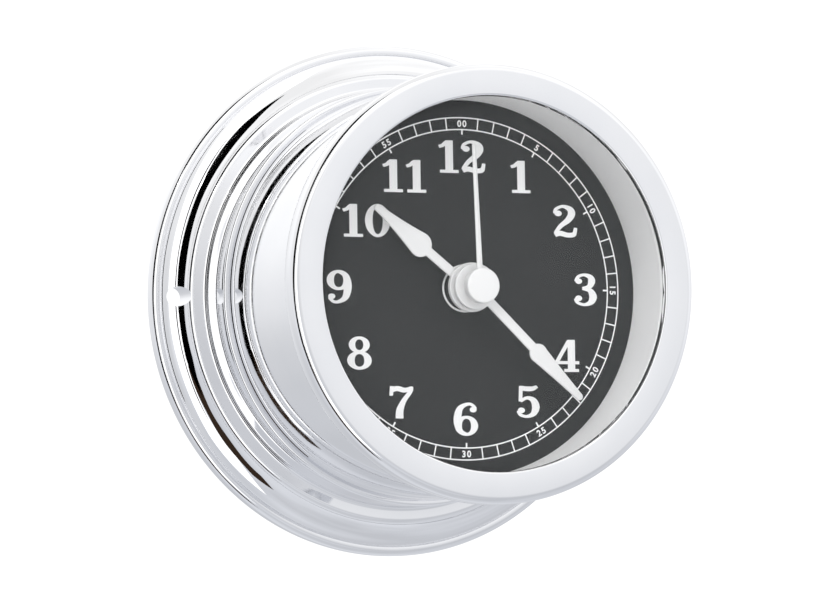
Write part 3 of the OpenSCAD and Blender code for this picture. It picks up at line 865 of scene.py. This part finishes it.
def make_world():
    """A light tent: pale all round, a little greyer below."""
    world = bpy.data.worlds.new("studio")
    world.use_nodes = True
    nodes = world.node_tree.nodes
    links = world.node_tree.links
    coords = nodes.new("ShaderNodeTexCoord")
    split = nodes.new("ShaderNodeSeparateXYZ")
    shade = nodes.new("ShaderNodeValToRGB")
    shade.color_ramp.elements[0].position = 0.3
    shade.color_ramp.elements[0].color = (0.58, 0.595, 0.63, 1)
    shade.color_ramp.elements[1].position = 0.8
    shade.color_ramp.elements[1].color = (0.94, 0.94, 0.94, 1)
    lift = nodes.new("ShaderNodeMapRange")
    lift.inputs["From Min"].default_value = -1
    links.new(coords.outputs["Generated"], split.inputs["Vector"])
    links.new(split.outputs["Z"], lift.inputs["Value"])
    links.new(lift.outputs["Result"], shade.inputs["Fac"])
    links.new(shade.outputs["Color"], nodes["Background"].inputs["Color"])
    patches = nodes.new("ShaderNodeTexNoise")
    patches.inputs["Scale"].default_value = 1.4
    glow = nodes.new("ShaderNodeMapRange")
    glow.inputs["From Min"].default_value = 0.35
    glow.inputs["From Max"].default_value = 0.65
    glow.inputs["To Min"].default_value = 1.0
    glow.inputs["To Max"].default_value = 1.28
    links.new(coords.outputs["Generated"], patches.inputs["Vector"])
    links.new(patches.outputs["Fac"], glow.inputs["Value"])
    links.new(glow.outputs["Result"], nodes["Background"].inputs["Strength"])
    bpy.context.scene.world = world
    bpy.context.scene.view_settings.view_transform = "Standard"


def glossy_only(obj):
    """A studio card that only shows up as a reflection."""
    obj.visible_camera = False
    obj.visible_diffuse = False
    obj.visible_shadow = False
    return obj


def glow_material(name, colour, strength):
    mat, _, _, shader = new_material(name)
    shader.inputs["Base Color"].default_value = (0, 0, 0, 1)
    shader.inputs["Specular IOR Level"].default_value = 0.0
    shader.inputs["Emission Color"].default_value = (*colour, 1)
    shader.inputs["Emission Strength"].default_value = strength
    return mat


def card_ring(name, radius, near, far, start, end, material, steps=72):
    """A band of card round the clock's axis, between two heights over the wall, pointed at both ends."""
    verts = []
    faces = []
    middle = (near + far) / 2
    for i in range(steps + 1):
        t = i / steps
        a = math.radians(start + (end - start) * t)
        swell = min(1, 2.6 * math.sin(math.pi * t)) * (0.88 + 0.12 * math.sin(17 * t + 1))
        for y in (middle - (middle - near) * swell, middle + (far - middle) * swell):
            verts.append((radius * math.sin(a), -y, radius * math.cos(a)))
    for i in range(steps):
        faces.append((2 * i, 2 * i + 1, 2 * i + 3, 2 * i + 2))
    mesh = bpy.data.meshes.new(name)
    mesh.from_pydata(verts, [], faces)
    mesh.materials.append(material)
    obj = bpy.data.objects.new(name, mesh)
    bpy.context.collection.objects.link(obj)
    return glossy_only(obj)


def make_camera():
    """The camera stands to the clock's left and a little below it, rolled a touch."""
    azimuth = math.radians(23.963)
    elevation = math.radians(-3.601)
    roll = math.radians(0.8095)
    distance = 0.98533
    aim_side = -0.0074927
    aim_up = -0.0001454
    turn = (
        Matrix.Rotation(-roll, 3, "Y")
        @ Matrix.Rotation(elevation, 3, "X")
        @ Matrix.Rotation(azimuth, 3, "Z")
    )
    right, forward, up = turn[0], turn[1], turn[2]
    data = bpy.data.cameras.new("camera")
    data.sensor_width = 36
    data.lens = 185.8
    data.clip_start = 0.05
    data.clip_end = 20
    cam = bpy.data.objects.new("camera", data)
    axes = Matrix((right, up, -forward)).transposed()
    place = -(right * aim_side + forward * distance + up * aim_up)
    cam.matrix_world = Matrix.Translation(place) @ axes.to_4x4()
    bpy.context.collection.objects.link(cam)
    bpy.context.scene.camera = cam


def make_stage():
    """A pale floor, a bright backdrop far behind, and cards that the chrome reflects."""
    floor = stage_plane("floor", (0, 0, -0.16), (0, 0, 1), 6, 6, (0.9, 0.9, 0.9))
    floor.visible_glossy = False
    backdrop = stage_plane("backdrop", (0, 3.2, 1.5), (0, -1, 0), 9, 9, (1, 1, 1))
    backdrop.data.materials[0] = glow_material("backdrop_glow", (1, 1, 1), 1.1)
    backdrop.visible_glossy = False
    black = glow_material("card_black", (0, 0, 0), 0)
    brown = glow_material("card_brown", (0.035, 0.022, 0.015), 1)
    white = glow_material("card_white", (1, 1, 1), 1.4)
    card_ring("card_left", 0.6, 0.02, 0.34, 238, 352, black)
    card_ring("card_low_left", 0.62, 0.1, 0.36, 198, 256, brown)
    card_ring("card_edge", 0.61, 0.4, 0.46, 225, 338, black)
    card_ring("card_front", 0.7, 0.3, 1.3, 190, 385, white)
    area_light("key", (-0.7, -1.0, 1.1), (0, 0, 0), 0.8, 10)


make_world()
make_camera()
make_stage()
dress_cad_nodes()
make_case()
make_bezel_and_glass()
make_dial()
make_numerals()
make_track()
make_minute_numbers()
make_hands()
